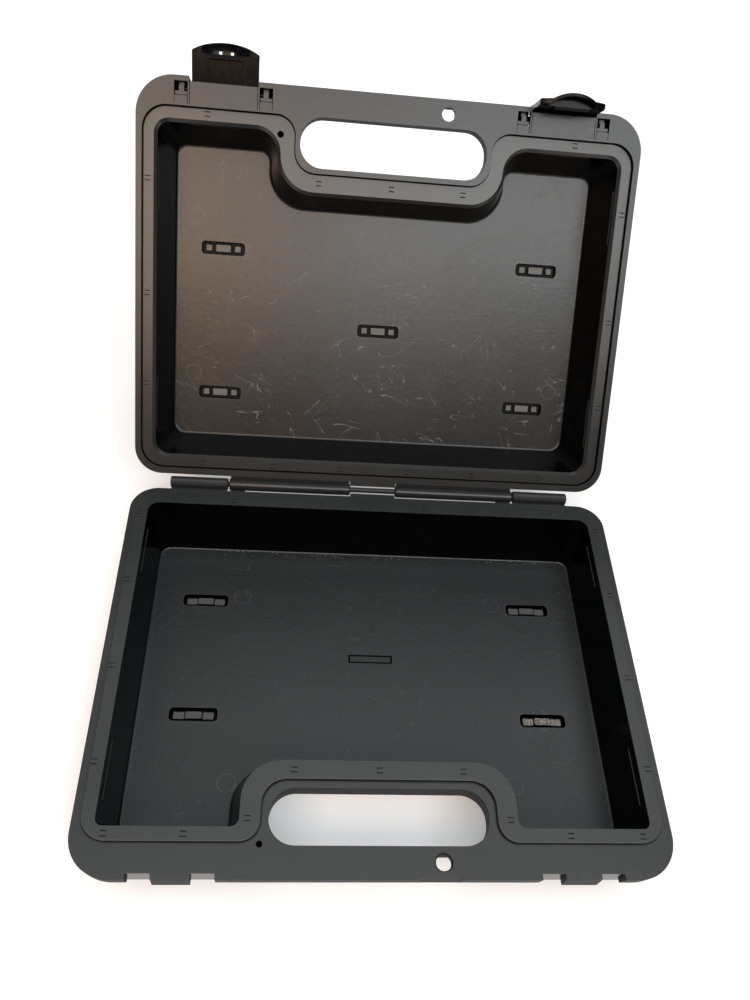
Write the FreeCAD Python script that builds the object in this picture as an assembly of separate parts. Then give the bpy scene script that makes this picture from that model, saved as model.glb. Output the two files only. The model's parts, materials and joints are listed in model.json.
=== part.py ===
"""Hard two-shell equipment case, lid open.

Frame: +X to the case's right, +Y towards the hinge, +Z up, millimetres.  The origin is the
centre of the middle foot of the base, on the plane that the case rests on.

Every piece is drawn with the case closed, in plan coordinates whose y = 0 is the middle of the
outline.  The lid and its latches are then swung open about the hinge pin, and everything is
shifted so that the middle foot lands on the origin.
"""
import FreeCAD, Part
import math
import os

from FreeCAD import Vector

# ---------------------------------------------------------------- driving dimensions
CASE_WIDTH = 275.0
CASE_LENGTH = 212.5
FRONT_RADIUS = 20.0
BACK_RADIUS = 15.0
WALL = 2.6
FLANGE = 3.0
SKIRT_DEPTH = 10.0
SKIRT_DRAFT = 1.3
BASE_DEPTH = 31.0
LID_DEPTH = 32.4
PART_GAP = 0.3
TONGUE_RISE = 2.0
REBATE = 2.5
CHAMFER = 1.7
LIP_RADIUS = 1.2
SEAL_GROOVE_WIDE = 0.55
SEAL_GROOVE_DEEP = 1.2
OUTER_FILLET = 3.0
BASE_FLOOR_FILLET = 1.0
LID_FLOOR_FILLET = 1.2
LID_OPEN = 129.5
LEFT_LATCH_OPEN = 80.0

# floor pockets and what sits in them
POCKET_LENGTH = 25.0
POCKET_WIDTH = 7.4
POCKET_RADIUS = 2.2
POCKET_DEPTH = 4.2
POCKET_SKIN = 1.7
POCKET_WALL = 2.0
BLANK_LENGTH = 24.3
BLANK_WIDTH = 5.0
BLANK_RADIUS = 0.8
BASE_POCKET_X = 93.0
BASE_POCKET_Y = (-17.5, 51.0)
LID_POCKET_X = 93.2
LID_POCKET_Y = (-22.2, 61.4)
LID_MIDDLE_Y = 19.7
FOOT_Y = 16.7

# insert clips: a middle block between two outer ones; drops are below the floor
CLIP_GAP = 0.15
CLIP_PLATE = 0.9
CLIP_DROP = 0.9
BASE_CLIP = dict(middle=8.4, middle_width=3.8, outer=5.6, outer_width=3.8, outer_drop=0.8, apart=7.6)
LID_CLIP = dict(middle=8.4, middle_width=3.8, outer=3.2, outer_width=3.2, outer_drop=0.4, apart=8.2)
BLANK_GAP = 0.25
BLANK_DROP = 0.1

# handle slot and padlock hole
SLOT_HALF = 51.0
SLOT_FRONT = -91.7
SLOT_BACK = -65.8
SLOT_RADIUS = 12.2
PADLOCK_X = 28.2
PADLOCK_Y = -98.7
PADLOCK_R = 3.6
PADLOCK_LEAD = 0.6
SHACKLE_RELIEF = 1.3

# what the moulding leaves on its faces
EJECTOR_R = 4.7
BASE_EJECTORS = ((-72.5, 54.0), (72.0, 53.5), (-73.2, -53.2), (73.2, -53.2))
LID_EJECTORS = ((-109.0, -39.5), (109.0, -39.5), (-109.0, 50.0), (109.0, 50.0))
BASE_BLIND_HOLE = dict(x=-54.5, y=-91.2, radius=1.5, depth=6.0)
LID_BLIND_HOLE = dict(x=-61.6, y=-81.9, radius=1.35, depth=5.0)
BLIND_HOLE_WALL = 1.2
MARK_LENGTH = 3.0
MARK_WIDTH = 0.6
MARK_APART = 2.2
MARK_DEPTH = 0.25
WITNESS_WIDTH = 0.35
WITNESS_DEPTH = 0.2

# snap beads for an inner tray
BEAD_R = 0.7
BEAD_BURY = 0.2
BASE_BEAD_RUNS = ((-71.5, -43.5), (51.0, 79.0))
LID_BEAD_RUNS = ((-67.0, -38.5), (51.0, 79.5))
FRONT_BEAD_X = (81.5, 110.0)

# hinge
PIN_R = 1.5
PIN_LENGTH = 233.0
PIN_FIT_BASE = 0.02
PIN_FIT_LID = 0.08
KNUCKLE_R = 3.4
KNUCKLE_BEVEL = 0.5
HINGE_BEHIND = 4.8
BASE_KNUCKLE_X = (84.3, 117.0)
LID_KNUCKLE_X = (13.4, 83.5)
PIN_COVER_GAP = 2.2
PIN_COVER_LIFT = 0.7
LUG_LENGTH = 8.4
LUG_HALF = 1.1
LUG_MARGIN = 2.0

# latches
LATCH_X = 92.0
LATCH_HALF = 17.7
PIVOT_Y = -100.6
PIVOT_RISE = 5.5
BARREL_R = 2.6
TRUNNION_R = 1.8
TRUNNION_FIT = 0.05
TRUNNION_HALF = 23.0
PLATE_OUTER = -108.0
PLATE_INNER = -104.9
PLATE_TIP = -14.0
TIP_ARCH = 4.7
CHANNEL_HALF = 9.5
CHANNEL_FACE = -106.4
HOOK_TOP = -10.6
HOOK_THICK = 2.2
TIP_STEP = 0.4
CHANNEL_TOP = 2.6
WEB_BELOW = 2.4
BAY_EDGE = -103.6
BAY_HALF = 18.1
BAY_BACK = -96.4
BAY_LIP = 2.4
NOTCH_HALF = 19.2
TAB_HALF = 8.3
TAB_FACE = -105.9
KEEPER_HALF = 21.5
DOME_WIDE = 11.2
DOME_HIGH = 3.1
DOME_SKIN = 1.5
EYE_APART = 6.2
EYE_SIZE = 1.6

# the bearing housings beside each bay
HOUSING_OUTER = 27.8
HOUSING_BACK = -94.8
WINDOW_INNER = 18.7
WINDOW_OUTER = 25.8
WINDOW_FRONT = -103.6
WINDOW_BACK = -96.6
WINDOW_TOP = 8.3
BEARING_X = (20.8, 23.4)
BEARING_LOW = 3.2
RIB_Y = (-98.8, -97.1)
BAR_LOW = 1.2
BAR_GAP = 0.4
POST_FRONT = -101.5

# ---------------------------------------------------------------- worked-out levels
HALF_W = CASE_WIDTH / 2
HALF_L = CASE_LENGTH / 2
PART_Z = POCKET_SKIN + POCKET_DEPTH + BASE_DEPTH      # the base's flange face
FLOOR_Z = PART_Z - BASE_DEPTH
LID_Z = PART_Z + PART_GAP                             # the lid's flange face, closed
CEILING_Z = LID_Z + LID_DEPTH
PIVOT_Z = LID_Z + PIVOT_RISE
HINGE_Y = HALF_L + HINGE_BEHIND
HINGE_Z = PART_Z + PART_GAP / 2
LATCH_TIP_Z = LID_Z + PLATE_TIP
EPS = 1.0                                             # how far a cutter runs past a face

# ---------------------------------------------------------------- outlines round the handle
# Each outline is the cavity, the tongue or the rebate: a rectangle with the handle's place
# taken out of its front edge.  "leg" is the half-width of that place and "handle" its back.
BASE_CAVITY = dict(half=127.0, back=94.4, front=-84.2, leg=64.0, handle=-53.4,
                   r_back=6.0, r_front=3.5, r_step=4.0, r_handle=18.5)
BASE_FLOOR = dict(half=122.0, back=86.1, front=-76.1, leg=69.9, handle=-45.5,
                  r_back=6.0, r_front=3.5, r_step=4.0, r_handle=20.0)
BASE_TONGUE = dict(half=133.6, back=100.9, front=-90.7, leg=54.3, handle=-62.4,
                   r_back=11.0, r_front=12.0, r_step=9.5, r_handle=11.5)
LID_REBATE = dict(half=134.3, back=102.6, front=-91.6, leg=53.4, handle=-63.1,
                  r_back=12.5, r_front=12.8, r_step=10.5, r_handle=11.0)
LID_RING = dict(half=128.4, back=96.9, front=-85.5, leg=61.2, handle=-53.6,
                r_back=9.5, r_front=8.0, r_step=13.5, r_handle=18.0)
LID_FLOOR = dict(half=120.0, back=87.2, front=-77.2, leg=67.6, handle=-47.2,
                 r_back=7.0, r_front=6.0, r_step=6.0, r_handle=20.0)

# the moulded dashes stand about every 50 mm round each ring; the right side mirrors the left
BASE_MARKS = ((131.5, 87.0), (131.5, 43.0), (131.5, -7.0), (131.5, -55.5), (122.5, -87.5), (88.0, -87.5),
              (60.4, -80.5), (40.0, -58.0), (0.0, -58.0), (30.0, 97.6), (80.0, 97.6))
LID_MARKS = ((131.6, 55.2), (131.6, 5.5), (131.6, -54.5), (100.5, -88.8), (99.2, 99.8), (59.4, 99.8),
             (20.0, 99.8), (40.0, -58.3), (0.0, -58.3))


# ---------------------------------------------------------------- drawing helpers
def rounded_polygon(corners, z):
    """Closed wire through corners (x, y, radius), each rounded by a tangent arc."""
    count = len(corners)
    ends = []
    for i in range(count):
        x, y, radius = corners[i]
        here = Vector(x, y, z)
        to_last = Vector(corners[i - 1][0], corners[i - 1][1], z).sub(here).normalize()
        following = corners[(i + 1) % count]
        to_next = Vector(following[0], following[1], z).sub(here).normalize()
        half_angle = to_last.getAngle(to_next) / 2
        reach = radius / math.tan(half_angle)
        bisector = to_last.add(to_next).normalize()
        centre = here.add(bisector * (radius / math.sin(half_angle)))
        start = here.add(to_last * reach)
        end = here.add(to_next * reach)
        middle = centre.sub(bisector * radius)
        ends.append((start, middle, end))
    edges = []
    for i in range(count):
        start, middle, end = ends[i]
        edges.append(Part.Arc(start, middle, end).toShape())
        following = ends[(i + 1) % count][0]
        if end.distanceToPoint(following) > 1e-6:
            edges.append(Part.LineSegment(end, following).toShape())
    return Part.Wire(edges)


def rim_outline(grow, z):
    """The case's outer outline, grown outwards by grow."""
    x = HALF_W + grow
    y = HALF_L + grow
    front = FRONT_RADIUS + grow
    back = BACK_RADIUS + grow
    return rounded_polygon([(-x, y, back), (-x, -y, front), (x, -y, front), (x, y, back)], z)


def stepped_outline(spec, grow, z):
    """A cavity outline with the handle's place taken out of its front edge."""
    half = spec["half"] + grow
    back = spec["back"] + grow
    front = spec["front"] - grow
    leg = spec["leg"] - grow
    handle = spec["handle"] - grow
    r_back = spec["r_back"] + grow
    r_front = spec["r_front"] + grow
    r_step = spec["r_step"] + grow
    r_handle = spec["r_handle"] - grow
    left = [(-half, back, r_back), (-half, front, r_front),
            (-leg, front, r_step), (-leg, handle, r_handle)]
    right = [(-x, y, radius) for x, y, radius in reversed(left)]
    return rounded_polygon(left + right, z)


def slot_outline(grow, z):
    """The finger slot of the handle."""
    x = SLOT_HALF + grow
    front = SLOT_FRONT - grow
    back = SLOT_BACK + grow
    radius = SLOT_RADIUS + grow
    return rounded_polygon([(-x, back, radius), (-x, front, radius),
                            (x, front, radius), (x, back, radius)], z)


def rectangle_outline(x, y, length, width, radius, z):
    """A rounded rectangle centred on (x, y)."""
    a = length / 2
    b = width / 2
    return rounded_polygon([(x - a, y + b, radius), (x - a, y - b, radius),
                            (x + a, y - b, radius), (x + a, y + b, radius)], z)


def prism(wire, height):
    """The wire's face pushed up, or down if height is negative."""
    return Part.Face(wire).extrude(Vector(0, 0, height))


def loft(*wires):
    return Part.makeLoft(list(wires), True, True)


def block(x0, x1, y0, y1, z0, z1):
    """An upright box between two opposite corners, given in any order."""
    low = Vector(min(x0, x1), min(y0, y1), min(z0, z1))
    return Part.makeBox(abs(x1 - x0), abs(y1 - y0), abs(z1 - z0), low)


def cross_rod(x0, x1, y, z, radius):
    """A cylinder along X."""
    return Part.makeCylinder(radius, abs(x1 - x0), Vector(min(x0, x1), y, z), Vector(1, 0, 0))


def upright_rod(x, y, z, radius, height):
    """A cylinder along Z, going down if height is negative."""
    direction = Vector(0, 0, math.copysign(1, height))
    return Part.makeCylinder(radius, abs(height), Vector(x, y, z), direction)


def fuse(shapes):
    whole = shapes[0].multiFuse(shapes[1:])
    return whole.removeSplitter()


def round_edges(shape):
    """The shape's full-circle edges."""
    return [edge for edge in shape.Edges if len(edge.Vertexes) == 1]


def edges_at(shape, z):
    """The shape's edges that lie flat at height z."""
    return [edge for edge in shape.Edges
            if abs(edge.BoundBox.ZMin - z) < 1e-4 and abs(edge.BoundBox.ZMax - z) < 1e-4]


# ---------------------------------------------------------------- features of both shells
def skirted_flange(face_z, up):
    """The flat flange with its drafted skirt; up is +1 for the lid and -1 for the base."""
    tip_z = face_z + up * SKIRT_DEPTH
    outer = loft(rim_outline(0, face_z), rim_outline(-SKIRT_DRAFT, tip_z))
    outer = outer.makeFillet(LIP_RADIUS, edges_at(outer, tip_z))
    root_z = face_z + up * FLANGE
    hollow = loft(rim_outline(-WALL, root_z), rim_outline(-WALL - SKIRT_DRAFT / 2, tip_z + up))
    return outer.cut(hollow)


def slot_collar(face_z, up):
    """The wall round the finger slot, as deep as the skirt, with a rounded lip."""
    collar = prism(slot_outline(WALL, face_z), up * SKIRT_DEPTH)
    return collar.makeFillet(LIP_RADIUS, edges_at(collar, face_z + up * SKIRT_DEPTH))


def slot_cutter(face_z, up):
    """The slot itself, with its lip rounded where fingers go over it."""
    tip_z = face_z + up * SKIRT_DEPTH
    straight = prism(slot_outline(0, face_z - up * EPS), up * (SKIRT_DEPTH + 2 * EPS))
    flare = loft(slot_outline(0, tip_z - up * LIP_RADIUS), slot_outline(1.0, tip_z + up * 0.2))
    return straight.fuse(flare)


def foot_boss(x, y, skin_z, up, length, width):
    """The boss on the outside of the floor that makes room for a pocket."""
    reach = POCKET_DEPTH + POCKET_SKIN
    wire = rectangle_outline(x, y, length + 2 * POCKET_WALL, width + 2 * POCKET_WALL,
                             POCKET_RADIUS + POCKET_WALL, skin_z)
    boss = prism(wire, up * reach)
    return boss.makeFillet(0.8, edges_at(boss, skin_z + up * reach))


def pocket_cutter(x, y, skin_z, up, length, width, radius):
    wire = rectangle_outline(x, y, length, width, radius, skin_z - up * EPS)
    return prism(wire, up * (POCKET_DEPTH + EPS))


def pocket_places(half_x, rows):
    """Four corner pockets: (name, x, y)."""
    places = []
    for row_name, y in zip(("front", "back"), rows):
        for side_name, side in (("left", -1), ("right", 1)):
            places.append((row_name + "_" + side_name, side * half_x, y))
    return places


def ejector_groove(x, y, z, up):
    """A fine ring left by an ejector pin on the floor."""
    width = 0.4
    depth = 0.2
    outer = upright_rod(x, y, z - up * EPS, EJECTOR_R, up * (depth + EPS))
    inner = upright_rod(x, y, z - up * EPS, EJECTOR_R - width, up * (depth + EPS))
    return outer.cut(inner)


def blind_hole(spec, z, up):
    """A small blind hole left by a mould pin."""
    return upright_rod(spec["x"], spec["y"], z, spec["radius"], up * spec["depth"])


def blind_boss(spec, z, up):
    """The boss behind the face that holds a blind hole."""
    radius = spec["radius"] + BLIND_HOLE_WALL
    height = spec["depth"] + BLIND_HOLE_WALL - EPS
    return upright_rod(spec["x"], spec["y"], z + up * EPS, radius, up * height)


def ring_mark(x, y, z, up):
    """A pair of short moulded dashes on a ring face."""
    dashes = []
    for side in (-1, 1):
        middle = y + side * MARK_APART / 2
        dashes.append(block(x - MARK_LENGTH / 2, x + MARK_LENGTH / 2, middle - MARK_WIDTH / 2,
                            middle + MARK_WIDTH / 2, z - up * EPS, z + up * MARK_DEPTH))
    return dashes


def ring_marks(places, z, up):
    """The marks on a ring, mirrored left to right."""
    marks = []
    for x, y in places:
        marks += ring_mark(x, y, z, up)
        if x > 0:
            marks += ring_mark(-x, y, z, up)
    return marks


def side_beads(x, z, runs):
    """Thin beads along the side walls, which an inner tray snaps under."""
    beads = []
    for side in (-1, 1):
        for y0, y1 in runs:
            beads.append(Part.makeCylinder(BEAD_R, y1 - y0, Vector(side * x, y0, z), Vector(0, 1, 0)))
    return beads


def knuckle(side, span, web_low, web_high):
    """A hinge barrel on one side, with the web that joins it to its flange."""
    x0, x1 = sorted((side * span[0], side * span[1]))
    barrel = cross_rod(x0, x1, HINGE_Y, HINGE_Z, KNUCKLE_R)
    barrel = barrel.makeChamfer(KNUCKLE_BEVEL, round_edges(barrel))
    web_inset = KNUCKLE_BEVEL + 0.1
    web = block(x0 + web_inset, x1 - web_inset, HALF_L - WALL, HINGE_Y, web_low, web_high)
    return barrel.fuse(web)


def pin_cover(half, up):
    """The strip in the middle of a flange's back edge that reaches out towards the pin."""
    near = HINGE_Z + up * PIN_COVER_LIFT
    far = HINGE_Z + up * (FLANGE - 0.3)
    return block(-half, half, HALF_L - WALL / 2, HINGE_Y - PIN_COVER_GAP, near, far)


# ---------------------------------------------------------------- the base
def base_shell():
    skin_z = FLOOR_Z - WALL
    rim_z = PART_Z + TONGUE_RISE
    bucket = loft(stepped_outline(BASE_CAVITY, WALL, PART_Z),
                  stepped_outline(BASE_FLOOR, WALL, skin_z))
    bucket = bucket.makeFillet(OUTER_FILLET, edges_at(bucket, skin_z))
    tongue = prism(stepped_outline(BASE_TONGUE, 0, PART_Z - EPS), TONGUE_RISE + EPS)
    tongue = tongue.makeFillet(0.5, edges_at(tongue, rim_z))
    solids = [skirted_flange(PART_Z, -1), bucket, tongue, slot_collar(PART_Z, -1)]
    solids.append(pin_cover(LID_KNUCKLE_X[0] - 0.4, -1))
    solids.append(blind_boss(BASE_BLIND_HOLE, PART_Z, -1))
    for _, x, y in pocket_places(BASE_POCKET_X, BASE_POCKET_Y):
        solids.append(foot_boss(x, y, FLOOR_Z, -1, POCKET_LENGTH, POCKET_WIDTH))
    solids.append(foot_boss(0, FOOT_Y, FLOOR_Z, -1, POCKET_LENGTH, POCKET_WIDTH))
    for side in (-1, 1):
        solids += keeper(side * LATCH_X)
        solids.append(knuckle(side, BASE_KNUCKLE_X, HINGE_Z - KNUCKLE_R, HINGE_Z - 0.5))
    shell = fuse(solids)

    cavity = loft(stepped_outline(BASE_CAVITY, 0, rim_z), stepped_outline(BASE_FLOOR, 0, FLOOR_Z))
    cavity = cavity.makeFillet(BASE_FLOOR_FILLET, edges_at(cavity, FLOOR_Z))
    cuts = [cavity, slot_cutter(PART_Z, -1)]
    for _, x, y in pocket_places(BASE_POCKET_X, BASE_POCKET_Y):
        cuts.append(pocket_cutter(x, y, FLOOR_Z, -1, POCKET_LENGTH, POCKET_WIDTH, POCKET_RADIUS))
    cuts.append(pocket_cutter(0, FOOT_Y, FLOOR_Z, -1, BLANK_LENGTH, BLANK_WIDTH, BLANK_RADIUS))
    cuts.append(upright_rod(PADLOCK_X, PADLOCK_Y, PART_Z + EPS, PADLOCK_R, -FLANGE - 2 * EPS))
    cuts.append(Part.makeCone(PADLOCK_R, PADLOCK_R + PADLOCK_LEAD, PADLOCK_LEAD,
                              Vector(PADLOCK_X, PADLOCK_Y, PART_Z - PADLOCK_LEAD)))
    cuts.append(blind_hole(BASE_BLIND_HOLE, PART_Z, -1))
    cuts.append(shackle_relief())
    cuts.append(cross_rod(-HALF_W, HALF_W, HINGE_Y, HINGE_Z, PIN_R + PIN_FIT_BASE))
    for x, y in BASE_EJECTORS:
        cuts.append(ejector_groove(x, y, FLOOR_Z, -1))
    cuts += ring_marks(BASE_MARKS, rim_z, -1)
    for side in (-1, 1):
        cuts += latch_notches(side * LATCH_X)
    shell = shell.cut(cuts)
    bead_z = PART_Z - 3.5
    lean = (BASE_CAVITY["half"] - BASE_FLOOR["half"]) / (rim_z - FLOOR_Z)
    bead_x = BASE_CAVITY["half"] - lean * (rim_z - bead_z)
    return fuse([shell] + side_beads(bead_x + BEAD_BURY, bead_z, BASE_BEAD_RUNS))


def keeper(x):
    """The thick front wall behind a latch's place, and the upright tab that the hook holds."""
    low = PART_Z - SKIRT_DEPTH
    high = PART_Z - FLANGE / 2
    wall = block(x - KEEPER_HALF, x + KEEPER_HALF, BAY_EDGE - EPS, BAY_EDGE + 3.0, low, high)
    tab = block(x - TAB_HALF, x + TAB_HALF, TAB_FACE, BAY_EDGE, low, high)
    return [wall, tab]


def latch_notches(x):
    """Room for a closed latch in the front edge, on both sides of the keeper tab."""
    low = PART_Z - SKIRT_DEPTH - EPS
    high = PART_Z + EPS
    front = -HALF_L - EPS
    notches = []
    for side in (-1, 1):
        notches.append(block(x + side * TAB_HALF, x + side * NOTCH_HALF, front, BAY_EDGE, low, high))
    notches.append(block(x - TAB_HALF, x + TAB_HALF, front, TAB_FACE, low, high))
    return notches


def shackle_relief():
    """A shallow scallop in the front edge, so that a shackle goes round it."""
    edge = -HALF_L
    outside = edge - 2.0
    corner = 0.5
    bottom = edge + SHACKLE_RELIEF
    left, right = PADLOCK_X - 12.5, PADLOCK_X + 10.0
    slope = 3.2
    wire = rounded_polygon([(left, outside, corner), (left, edge + 0.01, corner),
                            (left + slope, bottom, 4 * corner), (right - slope, bottom, 4 * corner),
                            (right, edge + 0.01, corner), (right, outside, corner)], PART_Z + EPS)
    return prism(wire, -SKIRT_DEPTH - 2 * EPS)


# ---------------------------------------------------------------- the lid, drawn closed
def lid_shell():
    skin_z = CEILING_Z + WALL
    ring_z = LID_Z + REBATE
    wall_z = ring_z + CHAMFER
    bucket = loft(stepped_outline(LID_RING, WALL, LID_Z + FLANGE / 2),
                  stepped_outline(LID_RING, WALL - CHAMFER / 2, wall_z),
                  stepped_outline(LID_FLOOR, WALL, skin_z))
    bucket = bucket.makeFillet(OUTER_FILLET, edges_at(bucket, skin_z))
    backing = prism(stepped_outline(LID_REBATE, WALL, LID_Z + FLANGE / 2), REBATE + 1.0)
    solids = [skirted_flange(LID_Z, 1), bucket, backing, slot_collar(LID_Z, 1)]
    solids.append(pin_cover(LID_KNUCKLE_X[0], 1))
    solids.append(blind_boss(LID_BLIND_HOLE, ring_z, 1))
    pockets = pocket_places(LID_POCKET_X, LID_POCKET_Y) + [("middle", 0, LID_MIDDLE_Y)]
    for _, x, y in pockets:
        solids.append(foot_boss(x, y, CEILING_Z, 1, POCKET_LENGTH, POCKET_WIDTH))
    for side in (-1, 1):
        for end in (-1, 1):
            solids.append(bearing_housing(side * LATCH_X, end))
        solids.append(knuckle(side, LID_KNUCKLE_X, HINGE_Z + 0.5, HINGE_Z + KNUCKLE_R))
        solids.append(stop_lug(side))
    shell = fuse(solids)

    cavity = loft(stepped_outline(LID_RING, 0, ring_z), stepped_outline(LID_RING, -CHAMFER, wall_z),
                  stepped_outline(LID_FLOOR, 0, CEILING_Z))
    cavity = cavity.makeFillet(LID_FLOOR_FILLET, edges_at(cavity, CEILING_Z))
    rebate = prism(stepped_outline(LID_REBATE, 0, LID_Z - EPS), REBATE + EPS)
    cuts = [cavity, rebate, seal_groove(ring_z), slot_cutter(LID_Z, 1)]
    for _, x, y in pockets:
        cuts.append(pocket_cutter(x, y, CEILING_Z, 1, POCKET_LENGTH, POCKET_WIDTH, POCKET_RADIUS))
    cuts.append(upright_rod(PADLOCK_X, PADLOCK_Y, LID_Z - EPS, PADLOCK_R, FLANGE + 2 * EPS))
    cuts.append(blind_hole(LID_BLIND_HOLE, ring_z, 1))
    cuts.append(cross_rod(-HALF_W, HALF_W, HINGE_Y, HINGE_Z, PIN_R + PIN_FIT_LID))
    for x, y in LID_EJECTORS:
        cuts.append(ejector_groove(x, y, CEILING_Z, 1))
    for side in (-1, 1):
        cuts.append(latch_bay(side * LATCH_X))
        for end in (-1, 1):
            cuts.append(bearing_window(side * LATCH_X, end))
            cuts += witness_lines(side * LATCH_X, end)
    cuts += ring_marks(LID_MARKS, ring_z, 1)
    shell = shell.cut(cuts)

    bead_z = wall_z + 1.5
    lean = (LID_RING["half"] - CHAMFER - LID_FLOOR["half"]) / (CEILING_Z - wall_z)
    bead_x = LID_RING["half"] - CHAMFER - lean * (bead_z - wall_z)
    extras = side_beads(bead_x + BEAD_BURY, bead_z, LID_BEAD_RUNS)
    bead_y = LID_RING["front"] + CHAMFER - BEAD_BURY
    for side in (-1, 1):
        extras.append(cross_rod(side * FRONT_BEAD_X[0], side * FRONT_BEAD_X[1], bead_y, bead_z, BEAD_R))
        for end in (-1, 1):
            extras.append(bearing_plate(side * LATCH_X, end))
    return fuse([shell] + extras)


def seal_groove(ring_z):
    """The fine groove at the foot of the rebate's outer wall."""
    outer = prism(stepped_outline(LID_REBATE, 0, ring_z - EPS), SEAL_GROOVE_DEEP + EPS)
    inner = prism(stepped_outline(LID_REBATE, -SEAL_GROOVE_WIDE, ring_z - EPS), SEAL_GROOVE_DEEP + EPS)
    return outer.cut(inner)


def witness_lines(x, end):
    """Fine lines on the parting face, left by the mould's inserts for the bay and the window."""
    stop = LID_REBATE["front"] - 1.0
    half = WITNESS_WIDTH / 2
    runs = ((BAY_HALF - WITNESS_WIDTH, BAY_EDGE), (WINDOW_INNER + half, WINDOW_BACK),
            (WINDOW_OUTER - half, WINDOW_BACK))
    lines = []
    for away, start in runs:
        middle = x + end * away
        lines.append(block(middle - half, middle + half, start - half, stop,
                           LID_Z - EPS, LID_Z + WITNESS_DEPTH))
    return lines


def stop_lug(side):
    """The lug at a lid knuckle's outer end that stops the lid against the base's back edge."""
    outer_x = LID_KNUCKLE_X[1] - KNUCKLE_BEVEL - 0.1
    reach = math.hypot(HINGE_BEHIND, FLANGE + PART_GAP / 2) + 1.0
    lug = block(side * (outer_x - LUG_LENGTH), side * outer_x, HINGE_Y, HINGE_Y + reach,
                HINGE_Z - LUG_HALF, HINGE_Z + LUG_HALF)
    end_edges = [edge for edge in lug.Edges
                 if edge.BoundBox.YMin > HINGE_Y + reach - 0.01 and edge.BoundBox.XLength > 1]
    lug = lug.makeFillet(0.7, end_edges)
    # turned so that, with the lid open, it stands LUG_MARGIN degrees short of the flange's lower edge
    flange_edge = 360 - math.degrees(math.atan2(FLANGE + PART_GAP / 2, HINGE_BEHIND))
    half_lug = math.degrees(math.asin(LUG_HALF / reach)) + LUG_MARGIN
    lug.rotate(Vector(0, HINGE_Y, HINGE_Z), Vector(1, 0, 0), 180 - (flange_edge - half_lug - LID_OPEN))
    return lug


def bearing_housing(x, end):
    """One closed box beside a latch's bay."""
    top_z = LID_Z + SKIRT_DEPTH
    housing = block(x + end * BAY_HALF, x + end * HOUSING_OUTER, -HALF_L + 0.6, HOUSING_BACK,
                    LID_Z + FLANGE / 2, top_z)
    return housing.makeFillet(1.0, edges_at(housing, top_z))


def bearing_window(x, end):
    """The window from the parting face into a housing, and the trunnion's way in from the bay."""
    window = block(x + end * WINDOW_INNER, x + end * WINDOW_OUTER, WINDOW_FRONT, WINDOW_BACK,
                   LID_Z - EPS, LID_Z + WINDOW_TOP)
    way_in = block(x + end * (BAY_HALF - EPS), x + end * (WINDOW_INNER + EPS), WINDOW_FRONT, WINDOW_BACK,
                   LID_Z + BAY_LIP, LID_Z + WINDOW_TOP)
    return window.fuse(way_in)


def bearing_plate(x, end):
    """The plate with the trunnion's bore, the rib behind it, and the T in front of both."""
    bury = 0.2
    inner, outer = x + end * BEARING_X[0], x + end * BEARING_X[1]
    bar_inner, bar_outer = x + end * (WINDOW_INNER + BAR_GAP), x + end * (WINDOW_OUTER - BAR_GAP)
    bar_z = LID_Z + BAR_LOW
    plate_z = LID_Z + BEARING_LOW
    top_z = LID_Z + WINDOW_TOP + bury
    plate = block(inner, outer, WINDOW_FRONT - bury, RIB_Y[1], plate_z, top_z)
    rib = block(inner, x + end * (WINDOW_OUTER + bury), RIB_Y[0], RIB_Y[1], plate_z, top_z)
    bar = block(bar_inner, bar_outer, RIB_Y[0], RIB_Y[1], bar_z, plate_z)
    post = block(inner, outer, POST_FRONT, RIB_Y[0], bar_z, plate_z)
    bore = cross_rod(x + end * BAY_HALF, outer, PIVOT_Y, PIVOT_Z, TRUNNION_R + TRUNNION_FIT)
    return fuse([plate, rib, bar, post]).cut(bore)


def latch_bay(x):
    """The open place in the lid's front edge in which a latch turns."""
    swing = block(x - BAY_HALF, x + BAY_HALF, -HALF_L - EPS, BAY_BACK,
                  LID_Z + BAY_LIP, LID_Z + SKIRT_DEPTH + EPS)
    edge = block(x - BAY_HALF, x + BAY_HALF, -HALF_L - EPS, BAY_EDGE, LID_Z - EPS, LID_Z + FLANGE)
    return swing.fuse(edge)


# ---------------------------------------------------------------- the latches, drawn closed
def latch(x):
    """A snap latch hanging from its trunnions, with its hook under the base's keeper tab."""
    left = x - LATCH_HALF
    right = x + LATCH_HALF
    barrel = cross_rod(left, right, PIVOT_Y, PIVOT_Z, BARREL_R)
    trunnion = cross_rod(x - TRUNNION_HALF, x + TRUNNION_HALF, PIVOT_Y, PIVOT_Z, TRUNNION_R)
    web = block(left, right, PLATE_OUTER, PIVOT_Y, PIVOT_Z - WEB_BELOW, PIVOT_Z + BARREL_R)
    body = fuse([barrel, web, latch_plate(x), thumb_dome(x)])
    corner = [edge for edge in edges_at(body, PIVOT_Z + BARREL_R)
              if abs(edge.BoundBox.YMax - PLATE_OUTER) < 0.01]
    body = body.makeFillet(2.0, corner)

    hook_low = LID_Z + HOOK_TOP - HOOK_THICK
    channel = block(x - CHANNEL_HALF, x + CHANNEL_HALF, CHANNEL_FACE, PIVOT_Y, hook_low, LID_Z + CHANNEL_TOP)
    step = block(left - EPS, right + EPS, PLATE_INNER - TIP_STEP, PLATE_INNER + EPS,
                 LATCH_TIP_Z - 2 * TIP_ARCH, hook_low)
    body = body.cut([channel, step, dome_hollow(x)])
    return fuse([body, latch_hook(x), trunnion]).cut(tip_eyes(x))


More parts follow.
